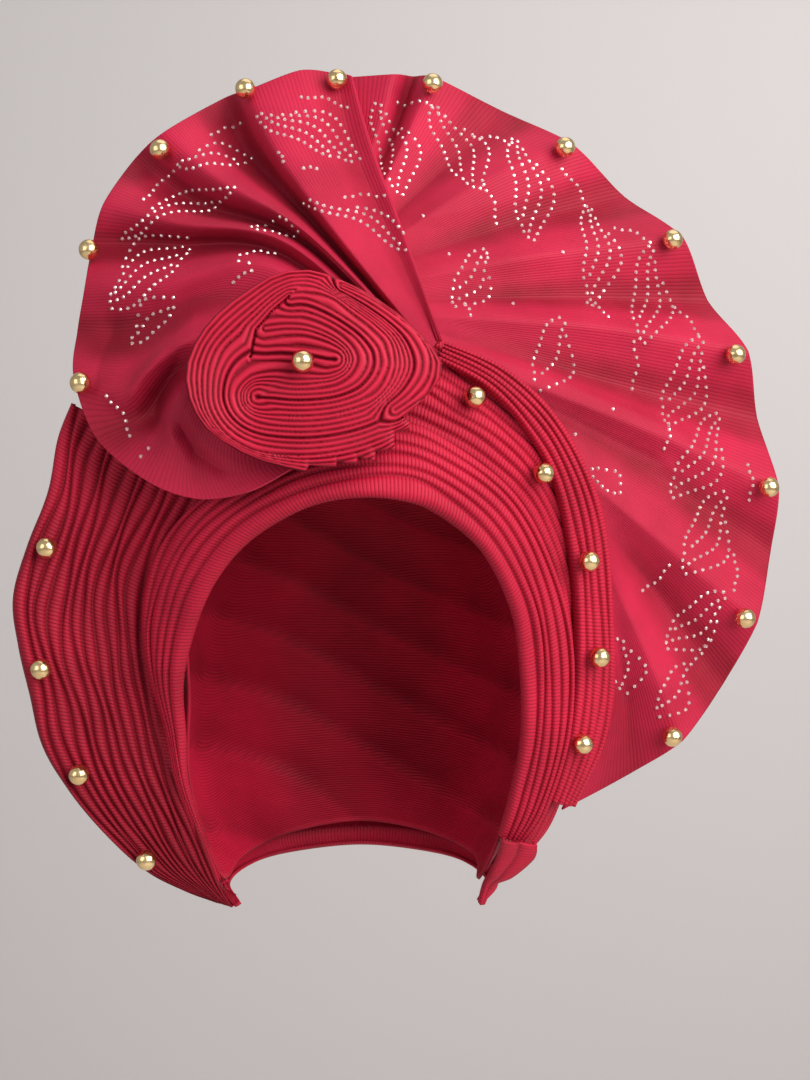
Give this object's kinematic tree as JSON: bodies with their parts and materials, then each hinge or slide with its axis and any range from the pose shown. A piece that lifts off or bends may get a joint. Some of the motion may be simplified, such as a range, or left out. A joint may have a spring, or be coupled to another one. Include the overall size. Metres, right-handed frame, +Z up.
{
  "type": "tied gele head tie",
  "caption": "Stiff ribbed cloth head tie, pleated round the face, with a flared side wing, two pleated fans, a coiled rosette and metal beads on the rims.",
  "frame": {"origin": "centre of the wearer's head at brow height, where the head sits in the tie", "axes": "+X to the viewer's right when facing the wearer, +Y to the back of the head, +Z up; the face opening looks along -Y"},
  "size_m": [0.2998, 0.2132, 0.337],
  "materials": {
    "red_cloth": "corded weave, slight sheen",
    "gold_beads": "polished"
  },
  "bodies": {
    "root": {"back_cap": "red_cloth", "nape_band": "red_cloth", "brow_band": "red_cloth", "crown_pleats": "red_cloth", "left_wing": "red_cloth", "fan_collar": "red_cloth", "right_fan": "red_cloth", "left_fan": "red_cloth", "rosette": "red_cloth", "jaw_tab": "red_cloth", "bead_01": "gold_beads", "bead_02": "gold_beads", "bead_03": "gold_beads", "bead_04": "gold_beads", "bead_05": "gold_beads", "bead_06": "gold_beads", "bead_07": "gold_beads", "bead_08": "gold_beads", "bead_09": "gold_beads", "bead_10": "gold_beads", "bead_11": "gold_beads", "bead_12": "gold_beads", "bead_13": "gold_beads", "bead_14": "gold_beads", "bead_15": "gold_beads", "bead_16": "gold_beads", "bead_17": "gold_beads", "bead_18": "gold_beads", "bead_19": "gold_beads", "bead_20": "gold_beads", "bead_21": "gold_beads", "bead_22": "gold_beads"}
  },
  "joints": []
}
